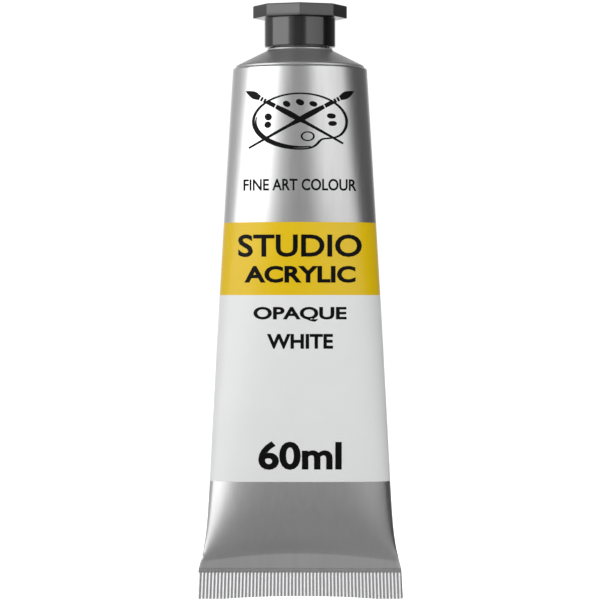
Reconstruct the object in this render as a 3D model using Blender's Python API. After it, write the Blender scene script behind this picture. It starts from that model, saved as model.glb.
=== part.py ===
"""A 60 ml collapsible paint tube with a screw cap.

The tube is a round laminate sleeve, pressed flat and heat sealed at its tail, with a moulded head
welded in its open end. The head holds a barrier insert, and the screw cap holds a sealing liner.
Metres, +Z up. The origin is the middle of the tail's lower edge, +Z runs up to the cap, and the
printed front of the sleeve faces -Y.
"""
from math import cos, copysign, exp, hypot, pi, radians, sin, tan

import bmesh
import bpy

MM = 0.001

# Fits
GAP = 0.3 * MM  # between pieces that touch
THREAD_PITCH = 2.4 * MM
THREAD_CREST = 0.5 * MM  # width of a thread's ridge at its crest
THREAD_ROOT = 1.0 * MM  # and at its root
THREAD_SINK = 0.25 * MM  # how far a ridge's root is sunk into its wall
THREAD_LEAD_IN = radians(50)  # the turn over which a ridge's end rises out of its wall

# Sleeve: a circle at the shoulder, pressed flat at the tail
TUBE_RADIUS = 15.0 * MM
SLEEVE_WALL = 0.45 * MM
SLEEVE_TOP_Z = 118.75 * MM
SHOULDER_Z = 118.0 * MM  # the last full circle
TAPER = 0.0625  # how fast the half width grows below the shoulder
TAPER_EASE = 0.06  # and how it eases off, per metre
ROUND_ABOVE_Z = 95.0 * MM  # the sections have round ends above this height
SQUARENESS = 1.6  # added to a circle's exponent of 2 down to the tail
SQUARE_POWER = 1.6
CRIMP_TOP_Z = 6.8 * MM
CRIMP_ARCH = 0.67 * MM  # the tail's lower edge arches up by this in the middle
FLARE = 1.5 * MM  # the tail's extra half width
FLARE_START_Z = 6.5 * MM
FLARE_LENGTH = 5.2 * MM
FLARE_POWER = 1.3
CREASE_Z = 8.2 * MM  # where the belly's crease meets the tail's two edges
CREASE_RISE = 1.9 * MM  # and how much higher it is in the middle
BELLY_LENGTH = 5.0 * MM  # height over which the belly fills out above its crease
CAVITY_FLOOR_Z = 12.5 * MM
SLEEVE_SIDES = 48
SLEEVE_LEVELS = [h * MM for h in (12.5, 14, 16, 18.5, 22, 27, 34, 43, 54, 66, 79, 92, 105)]
TAIL_LEVELS = [CRIMP_TOP_Z, CREASE_Z, CREASE_Z + CREASE_RISE, 11.2 * MM]

# Head: a conical shoulder shell with a threaded nozzle
CONE_ANGLE = radians(26.5)
CONE_RADIUS = 14.1 * MM
CONE_Z = 119.3 * MM
CONE_WALL = 1.2 * MM
RIM_RADIUS = TUBE_RADIUS - SLEEVE_WALL - GAP
RIM_WALL = 1.25 * MM
RIM_BOTTOM_Z = 117.0 * MM
COLLAR_RADIUS = 7.28 * MM
COLLAR_TOP_Z = 123.1 * MM
NECK_RADIUS = 5.7 * MM
NOZZLE_TOP_Z = 130.2 * MM
NOZZLE_BORE = 3.6 * MM
NECK_THREAD_RADIUS = 6.45 * MM
NECK_THREAD_Z = 124.7 * MM
NECK_THREAD_TURNS = 1.75

# Barrier insert and paint
INSERT_WALL = 0.4 * MM
INSERT_RADIUS = 12.7 * MM
INSERT_HOLE = 4.0 * MM
PAINT_FLOOR_Z = 16.0 * MM
PAINT_SHOULDER_Z = RIM_BOTTOM_Z - GAP
PAINT_NECK = 3.2 * MM
STACK_GAP = 0.35 * MM  # along Z between the head, the insert and the paint

# Cap and liner
CAP_SKIRT_RADIUS = 7.93 * MM
CAP_BOTTOM_Z = 123.4 * MM
CAP_CHAMFER = 0.4 * MM
CAP_BORE = 6.75 * MM
CAP_CEILING_Z = 131.4 * MM
CAP_TOP_Z = 132.7 * MM
FLANGE_RADIUS = 10.5 * MM  # to the octagon's corners
FLANGE_BOTTOM_Z = 129.9 * MM
FLANGE_CHAMFER = 0.25 * MM
CAP_THREAD_RADIUS = 6.05 * MM
CAP_THREAD_TURNS = 2.0
LINER_RADIUS = 6.4 * MM
LINER_BOTTOM_Z = 130.5 * MM
LINER_TOP_Z = 131.1 * MM

ROUND_SIDES = 40
SMOOTH_ANGLE = radians(35)


def material(name, colour, roughness, metallic):
    """A Principled material with one plain colour."""
    mat = bpy.data.materials.new(name)
    mat.use_nodes = True
    shader = mat.node_tree.nodes["Principled BSDF"]
    shader.inputs["Base Color"].default_value = (*colour, 1.0)
    shader.inputs["Roughness"].default_value = roughness
    shader.inputs["Metallic"].default_value = metallic
    return mat


def add_object(name, bm, mat):
    """Makes a smooth-shaded object of the bmesh, with its faces pointing out."""
    bmesh.ops.recalc_face_normals(bm, faces=bm.faces[:])
    mesh = bpy.data.meshes.new(name)
    bm.to_mesh(mesh)
    bm.free()
    mesh.shade_smooth()
    mesh.set_sharp_from_angle(angle=SMOOTH_ANGLE)
    ob = bpy.data.objects.new(name, mesh)
    bpy.context.scene.collection.objects.link(ob)
    if mat:
        mesh.materials.append(mat)
    return ob


def ring_of(bm, points):
    return [bm.verts.new(p) for p in points]


def bridge(bm, low, high):
    """A band of quads between two rings with the same number of points."""
    for i in range(len(low)):
        j = (i + 1) % len(low)
        bm.faces.new((low[i], low[j], high[j], high[i]))


def lathe(profile, sides=ROUND_SIDES):
    """Turns a closed outline of (radius, height) points about Z. A radius of 0 closes to a tip."""
    bm = bmesh.new()
    rings = []
    for radius, z in profile:
        if radius == 0:
            rings.append([bm.verts.new((0, 0, z))])
            continue
        turns = (2 * pi * i / sides for i in range(sides))
        rings.append(ring_of(bm, [(radius * cos(t), radius * sin(t), z) for t in turns]))
    for low, high in zip(rings, rings[1:] + rings[:1]):
        if len(low) == len(high) == 1:
            continue
        if len(low) == 1 or len(high) == 1:
            tip, ring = (low[0], high) if len(low) == 1 else (high[0], low)
            for i in range(sides):
                bm.faces.new((tip, ring[i], ring[(i + 1) % sides]))
        else:
            bridge(bm, low, high)
    return bm


def thread_ridge(wall_radius, crest_radius, start_angle, start_z, turns, sides=ROUND_SIDES):
    """A right-hand thread ridge. Its root is sunk in the wall, and both of its ends rise from it."""
    inward = -1 if crest_radius > wall_radius else 1
    root = wall_radius + inward * THREAD_SINK
    hidden = wall_radius + inward * THREAD_SINK / 2
    bm = bmesh.new()
    steps = round(turns * sides)
    rings = []
    for i in range(steps + 1):
        turned = 2 * pi * i / sides
        from_end = min(turned, 2 * pi * turns - turned)
        rise = min(1.0, from_end / THREAD_LEAD_IN)
        crest = hidden + (crest_radius - hidden) * rise
        angle = start_angle + turned
        z = start_z + THREAD_PITCH * turned / (2 * pi)
        section = [
            (root, z - THREAD_ROOT / 2),
            (crest, z - THREAD_CREST / 2),
            (crest, z + THREAD_CREST / 2),
            (root, z + THREAD_ROOT / 2),
        ]
        rings.append(ring_of(bm, [(r * cos(angle), r * sin(angle), h) for r, h in section]))
    for low, high in zip(rings, rings[1:]):
        bridge(bm, low, high)
    bm.faces.new(rings[0])
    bm.faces.new(rings[-1])
    return bm


def boolean(ob, operation, tool):
    """Adds an exact Boolean to ob. The tool stays in the file as a hidden guide."""
    tool.hide_render = True
    tool.display_type = "WIRE"
    modifier = ob.modifiers.new(tool.name, "BOOLEAN")
    modifier.operation = operation
    modifier.solver = "EXACT"
    modifier.object = tool


# The sleeve's surface


def half_width(z):
    """Half of the sleeve's width: it grows steadily below the shoulder and flares at the tail."""
    drop = max(SHOULDER_Z - z, 0.0)
    above_tail = max(z - FLARE_START_Z, 0.0)
    flare = FLARE * exp(-((above_tail / FLARE_LENGTH) ** FLARE_POWER))
    return TUBE_RADIUS + TAPER * drop - TAPER_EASE * drop**2 + flare


def exponent(z):
    """The section is a superellipse: a circle at the shoulder, with flatter faces lower down."""
    return 2.0 + SQUARENESS * (max(ROUND_ABOVE_Z - z, 0.0) / ROUND_ABOVE_Z) ** SQUARE_POWER


def section_point(a, b, n, angle):
    c = cos(angle)
    s = sin(angle)
    return a * copysign(abs(c) ** (2 / n), c), b * copysign(abs(s) ** (2 / n), s)


def girth(a, b, n, steps=180):
    """The length round a superellipse."""
    points = [section_point(a, b, n, 0.5 * pi * i / steps) for i in range(steps + 1)]
    return 4 * sum(hypot(q[0] - p[0], q[1] - p[1]) for p, q in zip(points, points[1:]))


def half_depth(z):
    """The depth that keeps the sleeve's girth, because flattening doesn't stretch the laminate."""
    a = half_width(z)
    n = exponent(z)
    low, high = 0.0, TUBE_RADIUS
    for _ in range(30):
        middle = (low + high) / 2
        if girth(a, middle, n) < 2 * pi * TUBE_RADIUS:
            low = middle
        else:
            high = middle
    return high


def sleeve_section(z, inset):
    """The ring of points at height z, set in from the sleeve's outer face.

    Below the crease the two faces are pressed together, and above it the belly fills out.
    """
    a = half_width(z)
    b = half_depth(z)
    n = exponent(z)
    shut = max(SLEEVE_WALL - inset, 0.0)
    points = []
    for i in range(SLEEVE_SIDES):
        x, y = section_point(a - inset, b - inset, n, 2 * pi * i / SLEEVE_SIDES)
        crease = CREASE_Z + CREASE_RISE * (1 - (x / a) ** 2)
        fill = 1 - exp(-max(z - crease, 0.0) / BELLY_LENGTH)
        depth = min(abs(y), shut) + max(abs(y) - shut, 0.0) * fill
        points.append((x, copysign(depth, y), z))
    return points


def arched(points):
    """The tail's lower edge, arched up in its middle."""
    end = half_width(0.0)
    return [(x, y, CRIMP_ARCH * (1 - (x / end) ** 2)) for x, y, _ in points]


def circle(radius, z):
    turns = (2 * pi * i / SLEEVE_SIDES for i in range(SLEEVE_SIDES))
    return [(radius * cos(t), radius * sin(t), z) for t in turns]


def close_across(bm, ring):
    """Closes a flat or arched ring with strips that run straight from its front to its back."""
    half = len(ring) // 2
    mirrored = [ring[-i] for i in range(half + 1)]
    for i in range(half):
        corners = [ring[i], ring[i + 1], mirrored[i + 1], mirrored[i]]
        bm.faces.new(list(dict.fromkeys(corners)))


def build_sleeve(mat):
    """The laminate sleeve: open at the top, pressed shut at the tail."""
    outer = [arched(sleeve_section(0.0, 0.0))]
    outer += [sleeve_section(z, 0.0) for z in TAIL_LEVELS + SLEEVE_LEVELS + [SHOULDER_Z]]
    outer += [
        circle(TUBE_RADIUS, SLEEVE_TOP_Z - 0.35 * MM),
        circle(TUBE_RADIUS - 0.2 * MM, SLEEVE_TOP_Z),
    ]
    inner = [circle(TUBE_RADIUS - SLEEVE_WALL, SLEEVE_TOP_Z)]
    inner += [sleeve_section(z, SLEEVE_WALL) for z in [SHOULDER_Z] + SLEEVE_LEVELS[::-1]]
    bm = bmesh.new()
    rings = [ring_of(bm, points) for points in outer + inner]
    for low, high in zip(rings, rings[1:]):
        bridge(bm, low, high)
    close_across(bm, rings[0])
    close_across(bm, rings[-1])
    return add_object("tube_sleeve", bm, mat)


# The other pieces


def cone_height(radius):
    """Height of the head's outer cone at this radius."""
    return CONE_Z + (CONE_RADIUS - radius) * tan(CONE_ANGLE)


def inner_cone_height(radius):
    return cone_height(radius) - CONE_WALL / cos(CONE_ANGLE)


def build_head(mat):
    """The moulded head: shoulder cone, collar and threaded nozzle, with a bore right through."""
    rim_inner = RIM_RADIUS - RIM_WALL
    profile = [
        (NOZZLE_BORE, NOZZLE_TOP_Z),
        (NECK_RADIUS - 0.3 * MM, NOZZLE_TOP_Z),
        (NECK_RADIUS, NOZZLE_TOP_Z - 0.3 * MM),
        (NECK_RADIUS, COLLAR_TOP_Z + 0.3 * MM),
        (NECK_RADIUS + 0.3 * MM, COLLAR_TOP_Z),
        (COLLAR_RADIUS, COLLAR_TOP_Z),
        (COLLAR_RADIUS, cone_height(COLLAR_RADIUS)),
        (CONE_RADIUS, CONE_Z),
        (RIM_RADIUS, CONE_Z - 0.4 * MM),
        (RIM_RADIUS, RIM_BOTTOM_Z),
        (rim_inner, RIM_BOTTOM_Z),
        (rim_inner, inner_cone_height(rim_inner)),
        (NOZZLE_BORE, inner_cone_height(NOZZLE_BORE)),
    ]
    head = add_object("shoulder_nozzle", lathe(profile), mat)
    ridge = thread_ridge(NECK_RADIUS, NECK_THREAD_RADIUS, 0.0, NECK_THREAD_Z, NECK_THREAD_TURNS)
    boolean(head, "UNION", add_object("nozzle_thread_tool", ridge, None))
    return head


def build_insert(mat):
    """The barrier insert: a thin foil-laminate cone that lines the shoulder."""

    def top(radius):
        return inner_cone_height(radius) - STACK_GAP

    profile = [
        (INSERT_HOLE, top(INSERT_HOLE)),
        (INSERT_RADIUS, top(INSERT_RADIUS)),
        (INSERT_RADIUS, top(INSERT_RADIUS) - INSERT_WALL),
        (INSERT_HOLE, top(INSERT_HOLE) - INSERT_WALL),
    ]
    return add_object("barrier_insert", lathe(profile), mat)


def build_paint(mat):
    """The paint that fills the sleeve up to the bottom of the nozzle's bore."""

    def top(radius):
        return inner_cone_height(radius) - 2 * STACK_GAP - INSERT_WALL

    cone_radius = INSERT_RADIUS - 0.2 * MM
    inset = SLEEVE_WALL + GAP
    levels = [z for z in SLEEVE_LEVELS if z >= PAINT_FLOOR_Z]
    bodies = [sleeve_section(z, inset) for z in levels]
    bodies += [
        sleeve_section(PAINT_SHOULDER_Z, inset),
        circle(cone_radius, PAINT_SHOULDER_Z),
        circle(cone_radius, top(cone_radius)),
        circle(PAINT_NECK, top(PAINT_NECK)),
    ]
    bm = bmesh.new()
    rings = [ring_of(bm, points) for points in bodies]
    for low, high in zip(rings, rings[1:]):
        bridge(bm, low, high)
    close_across(bm, rings[0])
    close_across(bm, rings[-1])
    return add_object("paint_fill", bm, mat)


def build_liner(mat):
    """The soft disc in the cap that seals the nozzle's tip."""
    profile = [
        (0, LINER_BOTTOM_Z),
        (LINER_RADIUS, LINER_BOTTOM_Z),
        (LINER_RADIUS, LINER_TOP_Z),
        (0, LINER_TOP_Z),
    ]
    return add_object("cap_liner", lathe(profile), mat)


def build_cap(mat):
    """The cap: an octagonal flange over a round skirt, with a threaded bore."""
    inner_corner = FLANGE_RADIUS - FLANGE_CHAMFER
    flange_profile = [
        (0, FLANGE_BOTTOM_Z),
        (FLANGE_RADIUS, FLANGE_BOTTOM_Z),
        (FLANGE_RADIUS, CAP_TOP_Z - FLANGE_CHAMFER),
        (inner_corner, CAP_TOP_Z),
        (0, CAP_TOP_Z),
    ]
    skirt_profile = [
        (0, CAP_BOTTOM_Z),
        (CAP_SKIRT_RADIUS - CAP_CHAMFER, CAP_BOTTOM_Z),
        (CAP_SKIRT_RADIUS, CAP_BOTTOM_Z + CAP_CHAMFER),
        (CAP_SKIRT_RADIUS, FLANGE_BOTTOM_Z + 1.0 * MM),
        (0, FLANGE_BOTTOM_Z + 1.0 * MM),
    ]
    bore_profile = [
        (0, CAP_BOTTOM_Z - 1.0 * MM),
        (CAP_BORE, CAP_BOTTOM_Z - 1.0 * MM),
        (CAP_BORE, CAP_CEILING_Z),
        (0, CAP_CEILING_Z),
    ]
    ridge = thread_ridge(CAP_BORE, CAP_THREAD_RADIUS, -pi, NECK_THREAD_Z, CAP_THREAD_TURNS)
    cap = add_object("cap", lathe(flange_profile, sides=8), mat)
    boolean(cap, "UNION", add_object("cap_skirt_tool", lathe(skirt_profile), None))
    boolean(cap, "DIFFERENCE", add_object("cap_bore_tool", lathe(bore_profile), None))
    boolean(cap, "UNION", add_object("cap_thread_tool", ridge, None))
    return cap


def build_joint_axis(pieces):
    """An empty on the nozzle's axis that carries the pieces which unscrew."""
    axis = bpy.data.objects.new("cap_axis", None)
    axis.location = (0.0, 0.0, CAP_BOTTOM_Z)
    axis.empty_display_size = FLANGE_RADIUS
    bpy.context.scene.collection.objects.link(axis)
    bpy.context.view_layer.update()
    for piece in pieces:
        piece.parent = axis
        piece.matrix_parent_inverse = axis.matrix_world.inverted()


def main():
    for ob in list(bpy.data.objects):
        bpy.data.objects.remove(ob, do_unlink=True)
    foil = material("satin_laminate", (0.55, 0.55, 0.56), 0.3, 1.0)
    moulded = material("silver_moulding", (0.45, 0.45, 0.46), 0.35, 0.8)
    barrier = material("barrier_foil", (0.70, 0.70, 0.70), 0.3, 1.0)
    paint = material("white_paint", (0.85, 0.84, 0.80), 0.35, 0.0)
    foam = material("liner_foam", (0.80, 0.80, 0.78), 0.8, 0.0)
    black = material("black_plastic", (0.012, 0.012, 0.013), 0.22, 0.0)
    build_sleeve(foil)
    build_head(moulded)
    build_insert(barrier)
    build_paint(paint)
    liner = build_liner(foam)
    cap = build_cap(black)
    build_joint_axis([liner, cap])


main()
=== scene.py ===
"""The looks of the paint tube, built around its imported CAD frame. Metres, +Z up, front towards -Y.

The sleeve, the head, the liner and the cap are fine meshes that replace their CAD nodes. The print
is a set of thin raised pieces laid on the sleeve. The paint and the barrier insert keep their CAD
meshes.
"""
import math

import bmesh
import bpy
import numpy as np
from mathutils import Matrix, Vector


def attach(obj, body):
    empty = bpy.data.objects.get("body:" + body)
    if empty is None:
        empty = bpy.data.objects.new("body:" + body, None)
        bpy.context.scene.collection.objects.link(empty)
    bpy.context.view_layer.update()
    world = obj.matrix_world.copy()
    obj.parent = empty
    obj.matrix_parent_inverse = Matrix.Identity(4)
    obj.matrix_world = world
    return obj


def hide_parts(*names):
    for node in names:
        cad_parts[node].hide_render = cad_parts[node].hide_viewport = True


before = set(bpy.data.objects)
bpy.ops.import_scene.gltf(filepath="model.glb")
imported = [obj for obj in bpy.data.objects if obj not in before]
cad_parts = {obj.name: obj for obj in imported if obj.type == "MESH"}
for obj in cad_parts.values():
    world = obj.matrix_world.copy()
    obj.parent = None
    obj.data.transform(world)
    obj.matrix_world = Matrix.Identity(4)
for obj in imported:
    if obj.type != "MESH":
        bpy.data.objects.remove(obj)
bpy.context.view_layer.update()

MM = 0.001
CAMERA_DISTANCE = 761 * MM
CAMERA_HEIGHT = 66.9 * MM
VIEW_WIDTH = 134.34 * MM  # what the frame spans at the tube's axis
SENSOR = 36.0

# The sleeve's shape, as the CAD model has it
TUBE_RADIUS = 15.0 * MM
WALL = 0.45 * MM
SHOULDER_Z = 118.0 * MM
TAPER = 0.0625
TAPER_EASE = 0.06
ROUND_ABOVE_Z = 95.0 * MM
SQUARENESS = 1.6
SQUARE_POWER = 1.6
FLARE = 1.5 * MM
FLARE_START_Z = 6.5 * MM
FLARE_LENGTH = 5.2 * MM
FLARE_POWER = 1.3
CREASE_Z = 8.2 * MM
CREASE_RISE = 1.9 * MM
BELLY_LENGTH = 5.0 * MM
CREASE_SOFTNESS = 0.08  # rounds the crease, which the CAD model leaves sharp
CAVITY_FLOOR_Z = 12.5 * MM

# The sleeve's fine mesh
BODY_COLUMNS = 236
TAIL_SPLIT = 6  # tail columns for each body column
LIP_RADIUS = 0.6 * MM
LIP_TOP_Z = 118.75 * MM
TAIL_TOP_Z = 7.05 * MM
TAIL_STEP = 0.055 * MM
LIP_SWEEP = 75  # how far round the lip's edge turns, in degrees
SECTION_STEPS = 700  # points in a quarter of a section, before it is spaced evenly
GIRTH_HALVINGS = 28
SEAM_HALF = 1.6 * MM
SEAM_STEP = 0.10 * MM
SEAM_TOP_Z = 116.0 * MM

# The tail's pressed pattern
RIB_COLUMNS = 12  # tail columns for each rib, which makes 59 ribs
RIB_HEIGHT = 0.10 * MM
RIB_TOP_Z = 5.95 * MM
RIB_FADE = 0.22 * MM
PRESSED = 0.35 * MM  # half the tail's thickness where it is ribbed
GROOVES = ((6.78 * MM, 0.20 * MM), (6.27 * MM, 0.15 * MM))  # height and depth of each cross groove
GROOVE_HALF = 0.17 * MM
ARCH = 0.62 * MM
ARCH_HALF = 17.0 * MM
ARCH_POWER = 2.2
CORNER = 0.5 * MM

# Heights of the printed bands' edges
SILVER_Z = 84.1 * MM
YELLOW_Z = 68.0 * MM
WHITE_Z = 26.5 * MM

# Head, thread and cap, as the CAD model has them
THREAD_PITCH = 2.4 * MM
THREAD_ROOT = 1.0 * MM
THREAD_CREST = 0.5 * MM
THREAD_Z = 124.7 * MM
NECK_RADIUS = 5.7 * MM
NECK_THREAD = 0.75 * MM
NECK_TURNS = 1.75
CAP_BORE = 6.75 * MM
CAP_THREAD = 0.7 * MM
CAP_TURNS = 2.0
CAP_THREAD_START = -math.pi  # where round the cap its thread begins
LATHE_COLUMNS = 192
THREAD_STEP = 0.08 * MM  # height between the rings of a threaded wall
THREAD_FADE = 0.12  # the share of a turn over which a thread's end rises

CONE_SLOPE = math.radians(26.5)
CONE_RADIUS = 14.1 * MM
CONE_Z = 119.3 * MM
CONE_WALL = 1.2 * MM
RIM_RADIUS = 14.32 * MM
RIM_INNER_RADIUS = 13.0 * MM
RIM_BOTTOM_Z = 117.0 * MM
COLLAR_RADIUS = 7.28 * MM
COLLAR_TOP_Z = 123.1 * MM
NOZZLE_BORE = 3.6 * MM
NOZZLE_TOP_Z = 130.2 * MM

LINER_RADIUS = 6.4 * MM
LINER_BOTTOM_Z = 130.5 * MM
LINER_TOP_Z = 131.1 * MM
LINER_EDGE = 0.12 * MM
LINER_DIP = 0.06 * MM  # the middle of its face is pressed in by this

CAP_RADIUS = 10.5 * MM  # across the octagon's corners
CAP_TOP_Z = 132.7 * MM
FLANGE_BOTTOM_Z = 129.9 * MM
FLANGE_CORNER = 0.14 * MM
FLANGE_EDGE = 0.22 * MM
SKIRT_RADIUS = 7.93 * MM
CAP_RIM_Z = 123.4 * MM
CAP_CEILING_Z = 131.4 * MM


# Meshes


def add_piece(name, verts, faces, materials, face_slots=None, sharp=35.0):
    """A smooth-shaded mesh object with sharp edges past the given angle, in degrees."""
    mesh = bpy.data.meshes.new(name)
    mesh.from_pydata([tuple(v) for v in verts], [], faces)
    for mat in materials:
        mesh.materials.append(mat)
    if face_slots is not None:
        mesh.polygons.foreach_set("material_index", face_slots)
    bm = bmesh.new()
    bm.from_mesh(mesh)
    bmesh.ops.recalc_face_normals(bm, faces=bm.faces[:])
    bm.to_mesh(mesh)
    bm.free()
    mesh.shade_smooth()
    mesh.set_sharp_from_angle(angle=math.radians(sharp))
    ob = bpy.data.objects.new(name, mesh)
    bpy.context.scene.collection.objects.link(ob)
    return ob


class Loft:
    """Rings of points joined into one mesh. A ring may have a whole multiple of its neighbour's points."""

    def __init__(self):
        self.verts = []
        self.faces = []
        self.slots = []
        self.last = None

    def add(self, points, slot=0):
        """Adds a ring, or a tip of one point, and joins it to the one before."""
        start = len(self.verts)
        self.verts.extend(points)
        ring = range(start, start + len(points))
        if self.last is not None:
            self.join(self.last, ring, slot)
        self.last = ring

    def join(self, low, high, slot):
        """Fills the band between two rings, with one many-sided face for each point of the smaller."""
        if len(low) > len(high):
            low, high = high, low
        n = len(low)
        if n == 1:
            for i in range(len(high)):
                self._face((low[0], high[i], high[(i + 1) % len(high)]), slot)
            return
        split = len(high) // n
        for i in range(n):
            far = [high[(i * split + k) % len(high)] for k in range(split, -1, -1)]
            self._face((low[i], low[(i + 1) % n], *far), slot)

    def _face(self, corners, slot):
        self.faces.append(tuple(corners))
        self.slots.append(slot)

    def close_across(self, ring):
        """Closes a ring that is the same on both sides of y = 0 with strips from front to back."""
        half = len(ring) // 2
        for i in range(half):
            corners = (ring[i], ring[i + 1], ring[-i - 1], ring[-i] if i else ring[0])
            self._face(tuple(dict.fromkeys(corners)), 0)


def smooth(t):
    t = np.clip(t, 0.0, 1.0)
    return t * t * (3 - 2 * t)


# The sleeve's surface


def half_width(z):
    drop = max(SHOULDER_Z - z, 0.0)
    flare = FLARE * math.exp(-((max(z - FLARE_START_Z, 0.0) / FLARE_LENGTH) ** FLARE_POWER))
    return TUBE_RADIUS + TAPER * drop - TAPER_EASE * drop**2 + flare


def exponent(z):
    return 2.0 + SQUARENESS * (max(ROUND_ABOVE_Z - z, 0.0) / ROUND_ABOVE_Z) ** SQUARE_POWER


QUARTER = np.linspace(0.0, math.pi / 2, SECTION_STEPS)


def quarter_section(a, b, n):
    return a * np.cos(QUARTER) ** (2 / n), b * np.sin(QUARTER) ** (2 / n)


def half_depth(z, known={}):
    """The depth that keeps the sleeve's girth at every height."""
    if z not in known:
        a = half_width(z)
        n = exponent(z)
        low, high = 0.0, TUBE_RADIUS
        for _ in range(GIRTH_HALVINGS):
            middle = (low + high) / 2
            x, y = quarter_section(a, middle, n)
            if 4 * np.hypot(np.diff(x), np.diff(y)).sum() < 2 * math.pi * TUBE_RADIUS:
                low = middle
            else:
                high = middle
        known[z] = high
    return known[z]


def belly(x, y, z, shut):
    """Presses the two faces together below the arched crease. x and y are arrays, all positive."""
    crease = CREASE_Z + CREASE_RISE * (1 - (x / half_width(z)) ** 2)
    rise = np.maximum(z - crease, 0.0) / BELLY_LENGTH
    fill = 1 - np.exp(-rise * rise / (rise + CREASE_SOFTNESS))
    return np.minimum(y, shut) + np.maximum(y - shut, 0.0) * fill


def section(z, inset=0.0, columns=BODY_COLUMNS):
    """x and y of evenly spaced points round the sleeve at height z, from +X round by +Y."""
    x, y = quarter_section(half_width(z) - inset, half_depth(z) - inset, exponent(z))
    y = belly(x, y, z, max(WALL - inset, 0.0))
    run = np.concatenate([[0.0], np.cumsum(np.hypot(np.diff(x), np.diff(y)))])
    at = np.linspace(0.0, run[-1], columns // 4 + 1)
    x = np.interp(at, run, x)
    y = np.interp(at, run, y)
    x = np.concatenate([x[:-1], -x[::-1][:-1], -x[:-1], x[::-1][:-1]])
    y = np.concatenate([y[:-1], y[::-1][:-1], -y[:-1], -y[::-1][:-1]])
    return x, y


def front_depth(x, z):
    """How far in front of y = 0 the sleeve's face is, at x and z."""
    a = half_width(z)
    n = exponent(z)
    y = half_depth(z) * max(1 - abs(x / a) ** n, 0.0) ** (1 / n)
    return float(belly(np.array(abs(x)), np.array(y), z, WALL))


def ring_points(x, y, z):
    return np.column_stack([x, y, np.broadcast_to(z, x.shape)])


def tail_ring(z):
    """A ring of the pressed tail: flat-backed ribs below, two grooves across above them."""
    x, y = section(max(z, 0.0), columns=BODY_COLUMNS * TAIL_SPLIT)
    ribbed = smooth((RIB_TOP_Z + RIB_FADE / 2 - z) / RIB_FADE)
    wave = np.cos(2 * math.pi * np.arange(len(x)) / RIB_COLUMNS) * RIB_HEIGHT * ribbed
    thick = PRESSED + (WALL - PRESSED) * (1 - ribbed)
    for height, depth in GROOVES:
        thick -= depth * smooth(1 - abs(z - height) / GROOVE_HALF)
    inside = np.minimum(np.abs(y) / WALL, 1.0)
    y = np.sign(y) * inside * thick - inside * wave
    return x, y


def lower_edge(x):
    """The tail's cut edge: arched in the middle, rounded at its corners."""
    arch = ARCH * (1 - np.minimum(np.abs(x) / ARCH_HALF, 1.0) ** ARCH_POWER)
    past = np.maximum(np.abs(x) - (half_width(0.0) - CORNER), 0.0)
    return arch + CORNER - np.sqrt(np.maximum(CORNER**2 - past**2, 0.0))


def seam(x, y, z):
    """Raises the lap seam down the sleeve's back, below the shoulder."""
    step = SEAM_STEP * (1 - smooth((np.abs(x) - SEAM_HALF) / (0.4 * MM)))
    step = step * smooth((SEAM_TOP_Z - z) / (4 * MM))
    return np.where(y > 0, y + step, y)


def build_sleeve(silver, yellow, white):
    loft = Loft()
    tail_heights = list(np.linspace(0.0, RIB_TOP_Z - RIB_FADE, 7))
    tail_heights += list(np.arange(RIB_TOP_Z - RIB_FADE + TAIL_STEP, TAIL_TOP_Z, TAIL_STEP))
    for i, z in enumerate(tail_heights):
        x, y = tail_ring(z)
        share = 1 - z / RIB_TOP_Z if z < RIB_TOP_Z else 0.0
        loft.add(ring_points(x, y, z + lower_edge(x) * share))
        if i == 0:
            first = loft.last
    body_heights = list(np.arange(TAIL_TOP_Z + 0.1 * MM, 11.5 * MM, 0.12 * MM))
    body_heights += list(np.arange(11.8 * MM, 20 * MM, 0.35 * MM))
    body_heights += list(np.arange(20.4 * MM, SHOULDER_Z + 0.01 * MM, 0.8 * MM))
    edges = (WHITE_Z, YELLOW_Z, SILVER_Z)
    body_heights = [z for z in body_heights if min(abs(z - e) for e in edges) > 0.2 * MM]
    body_heights = sorted(body_heights + list(edges))
    for z in body_heights:
        slot = 2 if WHITE_Z < z <= YELLOW_Z else 1 if YELLOW_Z < z <= SILVER_Z else 0
        x, y = section(z)
        loft.add(ring_points(x, seam(x, y, z), z), slot)
    turns = np.linspace(0, 2 * math.pi, BODY_COLUMNS, endpoint=False)
    turn(loft, arc(TUBE_RADIUS - LIP_RADIUS, LIP_TOP_Z - LIP_RADIUS, LIP_RADIUS, 0, LIP_SWEEP, 7), turns)
    turn(loft, [
        (TUBE_RADIUS - WALL - 0.05 * MM, LIP_TOP_Z - 0.2 * MM),
        (TUBE_RADIUS - WALL, LIP_TOP_Z - 0.5 * MM),
    ], turns)
    for z in np.linspace(SHOULDER_Z - 0.5 * MM, CAVITY_FLOOR_Z, 36):
        loft.add(ring_points(*section(z, WALL), z))
    loft.close_across(first)
    loft.close_across(loft.last)
    return add_piece("sleeve", loft.verts, loft.faces, [silver, yellow, white], loft.slots)


# Turned pieces


def thread_height(angle, z, turns, start_angle=0.0):
    """How much of a thread's ridge stands at this angle and height, from 0 to 1."""
    turned = (angle - start_angle) / (2 * math.pi)
    lap = np.round((z - THREAD_Z) / THREAD_PITCH - turned)
    along = turned + lap
    centre = THREAD_Z + THREAD_PITCH * along
    off = np.abs(z - centre)
    ridge = np.clip((THREAD_ROOT / 2 - off) / ((THREAD_ROOT - THREAD_CREST) / 2), 0.0, 1.0)
    ends = smooth(np.minimum(along, turns - along) / THREAD_FADE)
    return ridge * ends


def arc(cx, cz, radius, start, end, steps=6):
    """Points of a round corner in a turned outline, with angles in degrees."""
    return [(cx + radius * math.cos(t), cz + radius * math.sin(t))
            for t in np.radians(np.linspace(start, end, steps + 1))]


def lathe_angles():
    return np.linspace(0, 2 * math.pi, LATHE_COLUMNS, endpoint=False)


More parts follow.
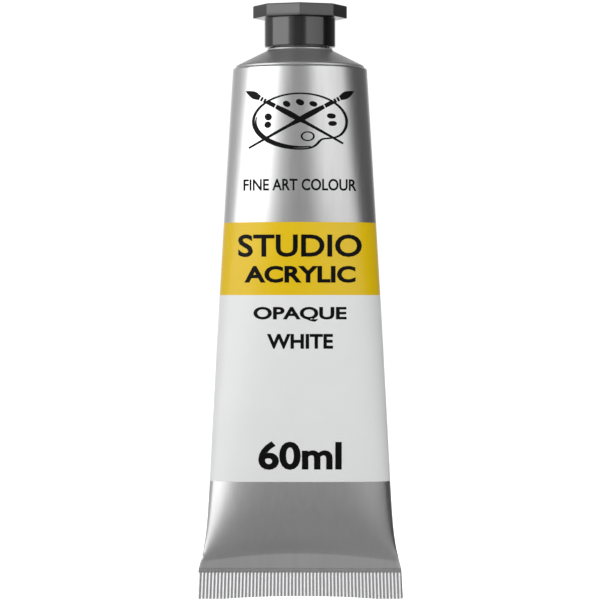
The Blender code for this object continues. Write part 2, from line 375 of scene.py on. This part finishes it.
def turn(loft, outline, angles):
    """Adds a ring for each (radius, z). A radius may be one number or one for each angle."""
    for radius, z in outline:
        loft.add(ring_points(radius * np.cos(angles), radius * np.sin(angles), z))


def build_head(mat):
    """Cone, collar and threaded nozzle, turned about the axis, with a bore right through."""
    slope = math.tan(CONE_SLOPE)
    collar_foot_z = CONE_Z + (CONE_RADIUS - COLLAR_RADIUS) * slope
    drop = CONE_WALL / math.cos(CONE_SLOPE)
    tip = NOZZLE_TOP_Z
    angles = lathe_angles()
    loft = Loft()
    turn(loft, [
        (NOZZLE_BORE, tip - 0.3 * MM),
        (NOZZLE_BORE + 0.1 * MM, tip - 0.08 * MM),
        (NOZZLE_BORE + 0.3 * MM, tip),
    ], angles)
    first = range(LATHE_COLUMNS)
    turn(loft, arc(NECK_RADIUS - 0.4 * MM, tip - 0.4 * MM, 0.4 * MM, 90, 0), angles)
    for z in np.arange(tip - 0.5 * MM, COLLAR_TOP_Z + 0.35 * MM, -THREAD_STEP):
        radius = NECK_RADIUS + NECK_THREAD * thread_height(angles, z, NECK_TURNS)
        turn(loft, [(radius, z)], angles)
    turn(loft, arc(NECK_RADIUS + 0.3 * MM, COLLAR_TOP_Z + 0.3 * MM, 0.3 * MM, 180, 270, 4), angles)
    turn(loft, arc(COLLAR_RADIUS - 0.15 * MM, COLLAR_TOP_Z - 0.15 * MM, 0.15 * MM, 90, 0, 4), angles)
    turn(loft, arc(COLLAR_RADIUS + 0.4 * MM, collar_foot_z + 0.25 * MM, 0.4 * MM, 180, 243.5, 4), angles)
    width = CONE_RADIUS - COLLAR_RADIUS
    fall = collar_foot_z - CONE_Z
    steps = np.linspace(0.08, 0.985, 18)
    turn(loft, [(COLLAR_RADIUS + width * s, collar_foot_z - fall * s) for s in steps], angles)
    turn(loft, arc(RIM_RADIUS - 0.3 * MM, CONE_Z - 0.33 * MM, 0.3 * MM, 58, 0, 4), angles)
    turn(loft, [
        (RIM_RADIUS - 0.07 * MM, RIM_BOTTOM_Z + 0.1 * MM),
        (RIM_RADIUS - 0.2 * MM, RIM_BOTTOM_Z),
        (RIM_INNER_RADIUS, RIM_BOTTOM_Z),
        (RIM_INNER_RADIUS, CONE_Z + (CONE_RADIUS - RIM_INNER_RADIUS) * slope - drop),
        (NOZZLE_BORE, CONE_Z + (CONE_RADIUS - NOZZLE_BORE) * slope - drop),
    ], angles)
    loft.join(loft.last, first, 0)
    return add_piece("head", loft.verts, loft.faces, [mat], sharp=40)


def build_liner(mat):
    """A thin disc with rounded edges and a shallow dip in its lower face."""
    angles = lathe_angles()
    dip_z = LINER_BOTTOM_Z + LINER_DIP
    edge = LINER_EDGE
    loft = Loft()
    loft.add([(0, 0, dip_z)])
    turn(loft, [(3.2 * MM, dip_z), (3.6 * MM, dip_z), (3.75 * MM, LINER_BOTTOM_Z)], angles)
    turn(loft, arc(LINER_RADIUS - edge, LINER_BOTTOM_Z + edge, edge, -90, 0, 4), angles)
    turn(loft, arc(LINER_RADIUS - edge, LINER_TOP_Z - edge, edge, 0, 90, 4), angles)
    loft.add([(0, 0, LINER_TOP_Z)])
    return add_piece("liner_disc", loft.verts, loft.faces, [mat])


# The cap


def octagon(radius, z, corner, arc_steps=4, side_steps=20):
    """A ring round an octagon with one corner to the front. Its corners have a small radius."""
    turn_half = math.pi / 8
    points = []
    for k in range(8):
        toward = -math.pi / 2 + k * math.pi / 4
        reach = radius - corner / math.cos(turn_half)
        centre = np.array([math.cos(toward), math.sin(toward)]) * reach
        arc_points = [centre + corner * np.array([math.cos(toward + t), math.sin(toward + t)])
                      for t in np.linspace(-turn_half, turn_half, arc_steps + 1)]
        points.append(arc_points)
    ring = []
    for k in range(8):
        ring.extend(points[k])
        start, end = points[k][-1], points[(k + 1) % 8][0]
        ring.extend(start + (end - start) * s for s in np.linspace(0, 1, side_steps + 1)[1:-1])
    ring = np.array(ring)
    return ring_points(ring[:, 0], ring[:, 1], z)


def build_cap(mat):
    """Octagonal flange over a round skirt, with its thread inside, as one closed mesh."""
    top, bottom, edge = CAP_TOP_Z, FLANGE_BOTTOM_Z, FLANGE_EDGE
    skirt, rim = SKIRT_RADIUS, CAP_RIM_Z
    outline = octagon(CAP_RADIUS, top, FLANGE_CORNER)
    angles = np.arctan2(outline[:, 1], outline[:, 0])
    loft = Loft()
    loft.add([(0, 0, top - 0.12 * MM)])
    turn(loft, [(0.9 * MM, top - 0.12 * MM), (1.15 * MM, top - 0.10 * MM), (1.3 * MM, top)], angles)
    turn(loft, [(4.5 * MM, top), (8.0 * MM, top)], angles)
    for inset, z in (
        (edge, top),
        (edge * 0.62, top - edge * 0.12),
        (edge * 0.12, top - edge * 0.62),
        (0.0, top - edge),
        (0.0, bottom + 0.12 * MM),
        (0.04 * MM, bottom + 0.03 * MM),
        (0.14 * MM, bottom),
    ):
        loft.add(octagon(CAP_RADIUS - inset, z, FLANGE_CORNER))
    turn(loft, [(skirt + 0.25 * MM, bottom)], angles)
    turn(loft, arc(skirt + 0.2 * MM, bottom - 0.2 * MM, 0.2 * MM, 90, 180, 4), angles)
    turn(loft, [(skirt, bottom - 2 * MM), (skirt, rim + 2 * MM)], angles)
    turn(loft, arc(skirt - 0.35 * MM, rim + 0.35 * MM, 0.35 * MM, 0, -80, 6), angles)
    turn(loft, [
        (CAP_BORE + 0.2 * MM, rim),
        (CAP_BORE + 0.05 * MM, rim + 0.06 * MM),
        (CAP_BORE, rim + 0.2 * MM),
    ], angles)
    for z in np.arange(rim + 0.3 * MM, CAP_CEILING_Z - 0.4 * MM, THREAD_STEP):
        bore = CAP_BORE - CAP_THREAD * thread_height(angles, z, CAP_TURNS, CAP_THREAD_START)
        turn(loft, [(bore, z)], angles)
    turn(loft, arc(CAP_BORE - 0.25 * MM, CAP_CEILING_Z - 0.25 * MM, 0.25 * MM, 0, 90, 4), angles)
    loft.add([(0, 0, CAP_CEILING_Z)])
    return add_piece("cap_shell", loft.verts, loft.faces, [mat], sharp=28)


# Materials


class Nodes:
    """A Principled material's node tree, with short ways to add what the materials share."""

    def __init__(self, name, colour, roughness, metallic=0.0, **sockets):
        self.mat = bpy.data.materials.new(name)
        self.mat.use_nodes = True
        self.mat.diffuse_color = (*colour, 1.0)
        self.tree = self.mat.node_tree
        self.shader = self.tree.nodes["Principled BSDF"]
        self.shader.inputs["Base Color"].default_value = (*colour, 1.0)
        self.shader.inputs["Roughness"].default_value = roughness
        self.shader.inputs["Metallic"].default_value = metallic
        for label, value in sockets.items():
            self.shader.inputs[label].default_value = value
        self.colour = colour
        self.rough = roughness
        self.coords = self.tree.nodes.new("ShaderNodeTexCoord").outputs["Object"]

    def stretched(self, x, y, z):
        mapping = self.tree.nodes.new("ShaderNodeMapping")
        mapping.inputs["Scale"].default_value = (x, y, z)
        self.tree.links.new(self.coords, mapping.inputs["Vector"])
        return mapping.outputs["Vector"]

    def noise(self, scale, detail=3.0, vector=None):
        node = self.tree.nodes.new("ShaderNodeTexNoise")
        node.inputs["Scale"].default_value = scale
        node.inputs["Detail"].default_value = detail
        self.tree.links.new(vector or self.coords, node.inputs["Vector"])
        return node.outputs["Fac"]

    def spread(self, value, low, high):
        node = self.tree.nodes.new("ShaderNodeMapRange")
        node.inputs["From Min"].default_value = 0.3
        node.inputs["From Max"].default_value = 0.7
        node.inputs["To Min"].default_value = low
        node.inputs["To Max"].default_value = high
        self.tree.links.new(value, node.inputs["Value"])
        return node.outputs["Result"]

    def vary_colour(self, value, amount):
        """Lightens and darkens the base colour a little over the surface."""
        ramp = self.tree.nodes.new("ShaderNodeValToRGB")
        ramp.color_ramp.elements[0].position = 0.3
        ramp.color_ramp.elements[1].position = 0.7
        ramp.color_ramp.elements[0].color = (*[c * (1 - amount) for c in self.colour], 1.0)
        ramp.color_ramp.elements[1].color = (*[min(c * (1 + amount), 1.0) for c in self.colour], 1.0)
        self.tree.links.new(value, ramp.inputs["Fac"])
        self.tree.links.new(ramp.outputs["Color"], self.shader.inputs["Base Color"])

    def vary_roughness(self, value, amount):
        out = self.spread(value, max(self.rough - amount, 0.02), self.rough + amount)
        self.tree.links.new(out, self.shader.inputs["Roughness"])

    def bump(self, value, height, strength=1.0):
        node = self.tree.nodes.new("ShaderNodeBump")
        node.inputs["Strength"].default_value = strength
        node.inputs["Distance"].default_value = height
        self.tree.links.new(value, node.inputs["Height"])
        self.tree.links.new(node.outputs["Normal"], self.shader.inputs["Normal"])


def foil_material():
    """Satin silver laminate: faint streaks along the tube and a fine orange peel."""
    n = Nodes("silver_laminate", (0.80, 0.80, 0.805), 0.36, 1.0)
    n.vary_colour(n.noise(1.0, 4.0, n.stretched(900, 900, 30)), 0.02)
    n.vary_roughness(n.noise(1.0, 3.0, n.stretched(2200, 2200, 60)), 0.03)
    n.bump(n.noise(1500, 1.0), 0.0015 * MM, 0.5)
    return n.mat


def ink_material(name, colour, roughness, gloss):
    """Printed ink: nearly even, with the laminate's fine texture under it."""
    n = Nodes(name, colour, roughness)
    n.shader.inputs["Specular IOR Level"].default_value = gloss
    n.vary_colour(n.noise(120, 4.0), 0.012)
    n.vary_roughness(n.noise(1500, 3.0), 0.03)
    n.bump(n.noise(1500, 1.0), 0.0015 * MM, 0.5)
    return n.mat


def moulded_material(name, colour, roughness, metallic, grain, gloss=0.5):
    """Moulded plastic: a slight orange peel and uneven gloss."""
    n = Nodes(name, colour, roughness, metallic, IOR=1.55)
    n.shader.inputs["Specular IOR Level"].default_value = gloss
    n.vary_colour(n.noise(300, 3.0), 0.04)
    n.vary_roughness(n.noise(500, 4.0), 0.03)
    n.bump(n.noise(900, 2.0), grain, 0.6)
    return n.mat


def paint_material():
    n = Nodes("white_paint", (0.90, 0.89, 0.85), 0.28)
    n.vary_colour(n.noise(200, 3.0), 0.01)
    n.vary_roughness(n.noise(350, 3.0), 0.05)
    n.bump(n.noise(260, 3.0), 0.15 * MM, 0.5)
    return n.mat


def foam_material():
    n = Nodes("liner_foam", (0.82, 0.82, 0.79), 0.75)
    n.vary_colour(n.noise(2500, 2.0), 0.04)
    n.vary_roughness(n.noise(1200, 2.0), 0.05)
    n.bump(n.noise(3500, 1.0), 0.03 * MM, 0.6)
    return n.mat


# Print: flat drawings in millimetres, laid on the sleeve as thin raised pieces

INK_TOP = 0.030 * MM
INK_FOOT = -0.030 * MM


def ribbon(path, widths, closed=False):
    """A strip of the given widths along a path, as one outline for each side of the strip."""
    path = np.array(path, float)
    if closed:
        ahead = np.roll(path, -1, 0) - np.roll(path, 1, 0)
    else:
        ahead = np.gradient(path, axis=0)
    ahead /= np.linalg.norm(ahead, axis=1)[:, None]
    side = np.column_stack([-ahead[:, 1], ahead[:, 0]]) * np.array(widths)[:, None] / 2
    return path + side, path - side


def pen(path, thick, thin, closed=False):
    """A strip as a broad pen draws it: thick where it runs up or down, thin across."""
    path = np.array(path, float)
    ahead = np.roll(path, -1, 0) - np.roll(path, 1, 0) if closed else np.gradient(path, axis=0)
    upright = np.abs(ahead[:, 1]) / np.linalg.norm(ahead, axis=1)
    return ribbon(path, thin + (thick - thin) * upright**1.3, closed)


def ellipse(cx, cy, rx, ry, start=0, end=360, steps=48):
    turns = np.radians(np.linspace(start, end, steps + 1))
    return [(cx + rx * math.cos(t), cy + ry * math.sin(t)) for t in turns]


def curve_through(points, steps=10):
    """A smooth curve through a few points (Catmull-Rom)."""
    p = [np.array(q, float) for q in points]
    p = [2 * p[0] - p[1]] + p + [2 * p[-1] - p[-2]]
    out = []
    for i in range(1, len(p) - 2):
        for s in np.linspace(0, 1, steps, endpoint=False):
            out.append(0.5 * (2 * p[i] + (p[i + 1] - p[i - 1]) * s
                              + (2 * p[i - 1] - 5 * p[i] + 4 * p[i + 1] - p[i + 2]) * s**2
                              + (3 * p[i] - p[i - 1] - 3 * p[i + 1] + p[i + 2]) * s**3))
    return out + [p[-2]]


class Drawing:
    """Flat shapes gathered as thin prisms, in millimetres about a centre, then joined into one."""

    def __init__(self, name):
        self.name = name
        self.bm = bmesh.new()

    def polygon(self, points):
        """A prism on a closed outline without holes."""
        low = [self.bm.verts.new((x, y, 0.0)) for x, y in points]
        high = [self.bm.verts.new((x, y, 1.0)) for x, y in points]
        n = len(points)
        self.bm.faces.new(low[::-1])
        self.bm.faces.new(high)
        for i in range(n):
            j = (i + 1) % n
            self.bm.faces.new((low[i], low[j], high[j], high[i]))

    def strip(self, left, right, closed=False):
        """A prism on a strip between two edges, in quads, so that it can bend and close on itself."""
        rows = []
        for a, b in zip(left, right):
            rows.append([self.bm.verts.new((p[0], p[1], h)) for h in (0.0, 1.0) for p in (a, b)])
        n = len(rows)
        for i in range(n if closed else n - 1):
            p, q = rows[i], rows[(i + 1) % n]
            for c, d in ((0, 1), (1, 3), (3, 2), (2, 0)):
                self.bm.faces.new((p[c], p[d], q[d], q[c]))
        if not closed:
            for row in (rows[0], rows[-1]):
                self.bm.faces.new((row[0], row[1], row[3], row[2]))

    def mesh_object(self):
        """The shapes as one object."""
        bmesh.ops.recalc_face_normals(self.bm, faces=self.bm.faces[:])
        mesh = bpy.data.meshes.new(self.name)
        self.bm.to_mesh(mesh)
        self.bm.free()
        ob = bpy.data.objects.new(self.name, mesh)
        bpy.context.scene.collection.objects.link(ob)
        return ob


# Dabs on the palette: degrees round it, and size
DABS = ((66, 0.78), (90, 0.86), (114, 0.80), (166, 0.84), (190, 0.78), (354, 0.80), (17, 0.84))

# A brush's ferrule: start, end and the half width at each, from the brush's tip
FERRULE = ((3.85, 4.35, 0.48, 0.48), (4.6, 5.1, 0.48, 0.48), (5.35, 7.4, 0.48, 0.46))

# Plain lines of print: name, text, height, lower edge, width and added weight
PRINT_LINES = (
    ("print_use", "FINE ART COLOUR", 2.6, 91.0, 25.0, 0.02),
    ("print_range", "STUDIO", 5.0, 76.4, 27.4, 0.02),
    ("print_kind", "ACRYLIC", 3.75, 70.7, 24.6, 0.035),
    ("print_opacity", "OPAQUE", 3.3, 62.1, 20.6, 0.032),
    ("print_colour", "WHITE", 3.3, 56.1, 14.6, 0.032),
    ("print_volume", "60ml", 6.4, 29.2, 18.5, 0.03),
)

# The registration mark's corners, low on the back
EYE_MARK = ((-14.0, 12.8), (-8.0, 12.8), (-8.0, 15.8), (-14.0, 15.8))

CELL_WIDTH = 0.5  # the print is cut into cells this wide, so that it bends with the sleeve
CELL_HEIGHT = 2.0


def draw_brush(drawing, x, z, angle, length):
    """A round brush seen from the side: bristles, ferrule and a swelling handle."""
    c, s = math.cos(math.radians(angle)), math.sin(math.radians(angle))

    def at(u, v):
        return (x + u * c - v * s, z + u * s + v * c)

    bristle = curve_through([(0, 0), (1.0, 0.50), (2.2, 0.82), (3.6, 0.52)], 6)
    edge = [at(u, v) for u, v in bristle]
    back = [at(u, -v) for u, v in bristle[::-1]]
    drawing.polygon((edge + back[:-1])[::-1])
    for start, end, w0, w1 in FERRULE:
        drawing.polygon([at(start, -w0), at(end, -w1), at(end, w1), at(start, w0)])
    spine = np.linspace(7.65, length, 24)
    share = (spine - spine[0]) / (length - spine[0])
    width = 0.22 + 0.22 * (1 - share) + 0.24 * np.sin(np.pi * np.minimum(share * 2.2, 1.0))
    left = [at(u, w) for u, w in zip(spine, width)]
    right = [at(u, -w) for u, w in zip(spine, width)]
    drawing.strip(left, right)


def draw_palette(drawing, x, z, half_width, half_height):
    """A painter's palette: its outline, its thick lower edge, a thumb hole and dabs of paint."""
    rim = []
    for t in np.radians(np.arange(0, 360, 4)):
        notch = 1 - 0.20 * math.exp(-(((t - math.radians(306)) / 0.26) ** 2))
        rim.append((x + half_width * math.cos(t) * notch, z + half_height * math.sin(t) * notch))
    left, right = pen(rim, 0.62, 0.34, True)
    drawing.strip(left, right, True)
    under = ellipse(x, z - 0.1, half_width - 0.55, half_height - 0.55, 168, 284, 40)
    swell = 0.20 + 0.55 * np.sin(np.linspace(0, math.pi, len(under)))
    left, right = ribbon(under, swell)
    drawing.strip(left, right)
    hole = ellipse(x + 1.7, z - 3.3, 1.35, 0.95, 0, 360, 28)[:-1]
    left, right = pen(hole, 0.42, 0.26, True)
    drawing.strip(left, right, True)
    for degrees, size in DABS:
        t = math.radians(degrees)
        cx = x + 0.70 * half_width * math.cos(t)
        cz = z + 0.68 * half_height * math.sin(t)
        drawing.polygon([(cx + size * (1.05 + 0.12 * math.cos(2 * a + t)) * math.cos(a),
                          cz + size * (0.80 + 0.12 * math.cos(2 * a + t)) * math.sin(a))
                         for a in np.radians(np.arange(0, 360, 12))])


def unite(ob, tool):
    """Unites an object's overlapping parts with each other and with the tool."""
    modifier = ob.modifiers.new("unite", "BOOLEAN")
    modifier.operation = "UNION"
    modifier.solver = "EXACT"
    modifier.use_self = True
    modifier.object = tool
    bpy.context.view_layer.update()
    mesh = bpy.data.meshes.new_from_object(ob.evaluated_get(bpy.context.evaluated_depsgraph_get()))
    ob.modifiers.clear()
    ob.data = mesh
    bpy.data.objects.remove(tool, do_unlink=True)


def lay_on_sleeve(ob, mat, side=-1):
    """Cuts a flat drawing into small cells and bends it onto the sleeve's front or back.

    The drawing's x and y are across and up, in millimetres, and its z is 0 at the ink's foot and 1
    at its top.
    """
    bm = bmesh.new()
    bm.from_mesh(ob.data)
    xs = [v.co.x for v in bm.verts]
    ys = [v.co.y for v in bm.verts]
    columns = np.arange(math.ceil(min(xs)), max(xs), CELL_WIDTH)
    rows = np.arange(math.ceil(min(ys)), max(ys), CELL_HEIGHT)
    cuts = [(Vector((x, 0, 0)), Vector((1, 0, 0))) for x in columns]
    cuts += [(Vector((0, y, 0)), Vector((0, 1, 0))) for y in rows]
    for point, normal in cuts:
        geometry = bm.verts[:] + bm.edges[:] + bm.faces[:]
        bmesh.ops.bisect_plane(bm, geom=geometry, plane_co=point, plane_no=normal, dist=1e-6)
    for v in bm.verts:
        x, z, level = v.co.x * MM, v.co.y * MM, v.co.z
        d = 0.05 * MM
        slope_x = (front_depth(x + d, z) - front_depth(x - d, z)) / (2 * d)
        length = math.hypot(1.0, slope_x)
        raised = INK_FOOT + (INK_TOP - INK_FOOT) * level
        depth = front_depth(x, z) + raised / length
        v.co = (x - slope_x / length * raised, side * depth, z)
    if side > 0:
        bmesh.ops.reverse_faces(bm, faces=bm.faces[:])
    bmesh.ops.recalc_face_normals(bm, faces=bm.faces[:])
    mesh = ob.data
    bm.to_mesh(mesh)
    bm.free()
    mesh.materials.clear()
    mesh.materials.append(mat)
    mesh.polygons.foreach_set("material_index", [0] * len(mesh.polygons))
    mesh.shade_smooth()
    mesh.set_sharp_from_angle(angle=math.radians(40))
    return ob


def plain_text(name, text, height, low_z, width, weight, mat):
    """A line of plain capitals of the given cap height and width, laid on the sleeve."""
    curve = bpy.data.curves.new(name, "FONT")
    curve.body = text
    curve.align_x = "CENTER"
    curve.size = 1.0
    curve.offset = weight
    curve.resolution_u = 4
    curve.extrude = 0.5
    ob = bpy.data.objects.new(name, curve)
    bpy.context.scene.collection.objects.link(ob)
    bpy.context.view_layer.update()
    mesh = bpy.data.meshes.new_from_object(ob.evaluated_get(bpy.context.evaluated_depsgraph_get()))
    bpy.data.objects.remove(ob, do_unlink=True)
    co = np.empty(len(mesh.vertices) * 3)
    mesh.vertices.foreach_get("co", co)
    co = co.reshape(-1, 3)
    low, high = co.min(0), co.max(0)
    co[:, 0] = (co[:, 0] - (low[0] + high[0]) / 2) * (width / (high[0] - low[0]))
    co[:, 1] = (co[:, 1] - low[1]) * (height / (high[1] - low[1])) + low_z
    co[:, 2] = np.where(co[:, 2] > 0, 1.0, 0.0)
    mesh.vertices.foreach_set("co", co.ravel())
    bm = bmesh.new()
    bm.from_mesh(mesh)
    bmesh.ops.remove_doubles(bm, verts=bm.verts[:], dist=1e-4)
    bm.to_mesh(mesh)
    bm.free()
    ob = bpy.data.objects.new(name, mesh)
    bpy.context.scene.collection.objects.link(ob)
    return lay_on_sleeve(ob, mat)


def build_print(ink):
    """All the print: an emblem with plain lines below."""
    emblem = Drawing("print_emblem")
    draw_palette(emblem, 0.0, 106.2, 10.3, 6.1)
    emblem = emblem.mesh_object()
    brushes = Drawing("print_brushes")
    draw_brush(brushes, 12.0, 113.1, 208.5, 26.5)
    draw_brush(brushes, -12.0, 113.1, -28.5, 24.5)
    unite(emblem, brushes.mesh_object())
    lay_on_sleeve(emblem, ink)

    pieces = [emblem]
    for name, text, height, low_z, width, weight in PRINT_LINES:
        pieces.append(plain_text(name, text, height, low_z, width, weight, ink))
    mark = Drawing("print_eye_mark")
    mark.polygon(EYE_MARK)
    pieces.append(lay_on_sleeve(mark.mesh_object(), ink, side=1))
    return pieces


# The studio

# What the tube reflects, from 0 to 1: by degrees round from the camera's side, positive to the
# right, and by degrees up from level. The two are multiplied.
GREYS_AROUND = (
    (-180, 1.0), (-160, 1.0), (-148, 0.42), (-110, 0.42), (-38, 0.85), (-30, 0.65), (-17, 0.30),
    (0, 0.27), (11, 0.26), (19, 0.50), (78, 0.10), (86, 0.03), (108, 0.06), (135, 0.12),
    (150, 0.13), (163, 1.0), (180, 1.0),
)
GREYS_UP = (
    (-90, 0.30), (-75, 0.45), (-60, 0.72), (-30, 0.66), (-12, 0.92), (12, 1.0), (22, 0.7),
    (45, 0.15), (62, 0.20), (80, 0.60), (90, 0.8),
)
BACKDROP = 1.05  # brightness of the white that the camera sees
FLOOR_HALF = 3.0
FLOOR_DROP = 0.3 * MM


def add_softbox(name, azimuth, distance, width, heights, radiance, glossy=True):
    """An upright soft light, at an azimuth from the camera's side, positive to the right."""
    low, high = heights
    light = bpy.data.lights.new(name, "AREA")
    light.shape = "RECTANGLE"
    light.size = width
    light.size_y = high - low
    light.energy = radiance * math.pi * width * (high - low)
    ob = bpy.data.objects.new(name, light)
    turn_by = math.radians(azimuth)
    ob.location = (distance * math.sin(turn_by), -distance * math.cos(turn_by), (low + high) / 2)
    ob.rotation_euler = (math.radians(90), 0, turn_by)
    ob.visible_camera = False
    ob.visible_glossy = glossy
    bpy.context.scene.collection.objects.link(ob)


def build_world():
    """White to the eye. What the tube reflects is grey in front, dark on the right, white behind."""
    world = bpy.data.worlds.new("studio")
    bpy.context.scene.world = world
    world.use_nodes = True
    tree = world.node_tree
    tree.nodes.clear()
    add = tree.nodes.new
    link = tree.links.new
    coords = add("ShaderNodeTexCoord")
    axes = add("ShaderNodeSeparateXYZ")
    link(coords.outputs["Generated"], axes.inputs[0])
    back = add("ShaderNodeMath")
    back.operation = "MULTIPLY"
    back.inputs[1].default_value = -1.0
    link(axes.outputs["Y"], back.inputs[0])
    azimuth = add("ShaderNodeMath")
    azimuth.operation = "ARCTAN2"
    link(axes.outputs["X"], azimuth.inputs[0])
    link(back.outputs[0], azimuth.inputs[1])
    share = add("ShaderNodeMapRange")
    share.inputs["From Min"].default_value = -math.pi
    share.inputs["From Max"].default_value = math.pi
    link(azimuth.outputs[0], share.inputs["Value"])
    around = add("ShaderNodeValToRGB")
    link(share.outputs["Result"], around.inputs["Fac"])
    set_ramp(around, GREYS_AROUND, lambda degrees: degrees / 360 + 0.5)
    height = add("ShaderNodeMapRange")
    height.inputs["From Min"].default_value = -1.0
    height.inputs["From Max"].default_value = 1.0
    link(axes.outputs["Z"], height.inputs["Value"])
    up = add("ShaderNodeValToRGB")
    link(height.outputs["Result"], up.inputs["Fac"])
    set_ramp(up, GREYS_UP, lambda degrees: math.sin(math.radians(degrees)) / 2 + 0.5)
    seen = add("ShaderNodeMix")
    seen.data_type = "RGBA"
    seen.blend_type = "MULTIPLY"
    seen.inputs["Factor"].default_value = 1.0
    link(around.outputs["Color"], seen.inputs["A"])
    link(up.outputs["Color"], seen.inputs["B"])
    lit = add("ShaderNodeBackground")
    link(seen.outputs["Result"], lit.inputs["Color"])
    plain = add("ShaderNodeBackground")
    plain.inputs["Color"].default_value = (1, 1, 1, 1)
    plain.inputs["Strength"].default_value = BACKDROP
    path = add("ShaderNodeLightPath")
    choose = add("ShaderNodeMixShader")
    link(path.outputs["Is Camera Ray"], choose.inputs["Fac"])
    link(lit.outputs[0], choose.inputs[1])
    link(plain.outputs[0], choose.inputs[2])
    out = add("ShaderNodeOutputWorld")
    link(choose.outputs[0], out.inputs["Surface"])


def set_ramp(node, stops, place):
    """Fills a colour ramp with greys: (degrees, brightness) pairs, placed by a function."""
    elements = node.color_ramp.elements
    while len(elements) > 1:
        elements.remove(elements[-1])
    for i, (degrees, value) in enumerate(stops):
        element = elements[0] if i == 0 else elements.new(place(degrees))
        element.position = place(degrees)
        element.color = (value, value, value, 1.0)


def build_floor():
    mesh = bpy.data.meshes.new("floor")
    corners = [(x * FLOOR_HALF, y * FLOOR_HALF, 0) for x, y in ((-1, -1), (1, -1), (1, 1), (-1, 1))]
    mesh.from_pydata(corners, [], [(0, 1, 2, 3)])
    floor = bpy.data.objects.new("floor", mesh)
    floor.location.z = -FLOOR_DROP
    bpy.context.scene.collection.objects.link(floor)
    mat = bpy.data.materials.new("pale_floor")
    mat.use_nodes = True
    shader = mat.node_tree.nodes["Principled BSDF"]
    shader.inputs["Base Color"].default_value = (0.9, 0.9, 0.9, 1.0)
    shader.inputs["Roughness"].default_value = 1.0
    shader.inputs["Specular IOR Level"].default_value = 0.0
    shader.inputs["Emission Color"].default_value = (1, 1, 1, 1)
    shader.inputs["Emission Strength"].default_value = 1.0
    mesh.materials.append(mat)
    floor.visible_glossy = False
    floor.visible_diffuse = False
    floor.visible_shadow = False


def build_studio():
    camera = bpy.data.cameras.new("camera")
    camera.sensor_width = SENSOR
    camera.lens = SENSOR * CAMERA_DISTANCE / VIEW_WIDTH
    camera.clip_start = 0.01
    ob = bpy.data.objects.new("camera", camera)
    ob.location = (0.0, -CAMERA_DISTANCE, CAMERA_HEIGHT)
    ob.rotation_euler = (math.radians(90), 0, 0)
    bpy.context.scene.collection.objects.link(ob)
    bpy.context.scene.camera = ob
    bpy.context.scene.view_settings.view_transform = "Standard"
    build_world()
    build_floor()
    add_softbox("left_softbox", -68, 0.60, 0.72, (0.0, 0.66), 1.5)
    add_softbox("left_low", -68, 0.60, 0.72, (-0.24, 0.0), 0.40)
    add_softbox("right_softbox", 50, 0.30, 0.35, (0.045, 0.45), 0.82)
    add_softbox("front_fill", 35, 0.60, 0.80, (-0.10, 0.70), 0.95, glossy=False)
    add_softbox("back_fill", 180, 0.60, 0.80, (-0.10, 0.70), 0.55, glossy=False)


def main():
    build_studio()
    silver = foil_material()
    yellow = ink_material("yellow_ink", (0.88, 0.59, 0.0), 0.32, 0.45)
    white = ink_material("white_ink", (0.90, 0.905, 0.905), 0.36, 0.45)
    black = ink_material("black_ink", (0.003, 0.003, 0.0034), 0.5, 0.12)
    moulded = moulded_material("silver_moulding", (0.60, 0.60, 0.61), 0.40, 0.78, 0.003 * MM)
    plastic = moulded_material("black_plastic", (0.003, 0.003, 0.0034), 0.16, 0.0, 0.001 * MM, 1.0)

    sleeve = build_sleeve(silver, yellow, white)
    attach(sleeve, "tube")
    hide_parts("tube_sleeve")
    head = build_head(moulded)
    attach(head, "tube")
    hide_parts("shoulder_nozzle")
    for piece in build_print(black):
        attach(piece, "tube")
    liner = build_liner(foam_material())
    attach(liner, "liner")
    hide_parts("cap_liner")
    cap = build_cap(plastic)
    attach(cap, "cap")
    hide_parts("cap")

    barrier = Nodes("barrier_foil", (0.78, 0.78, 0.79), 0.3, 1.0)
    barrier.vary_roughness(barrier.noise(800, 3.0), 0.05)
    for node, mat in (("paint_fill", paint_material()), ("barrier_insert", barrier.mat)):
        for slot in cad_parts[node].material_slots:
            slot.material = mat


main()
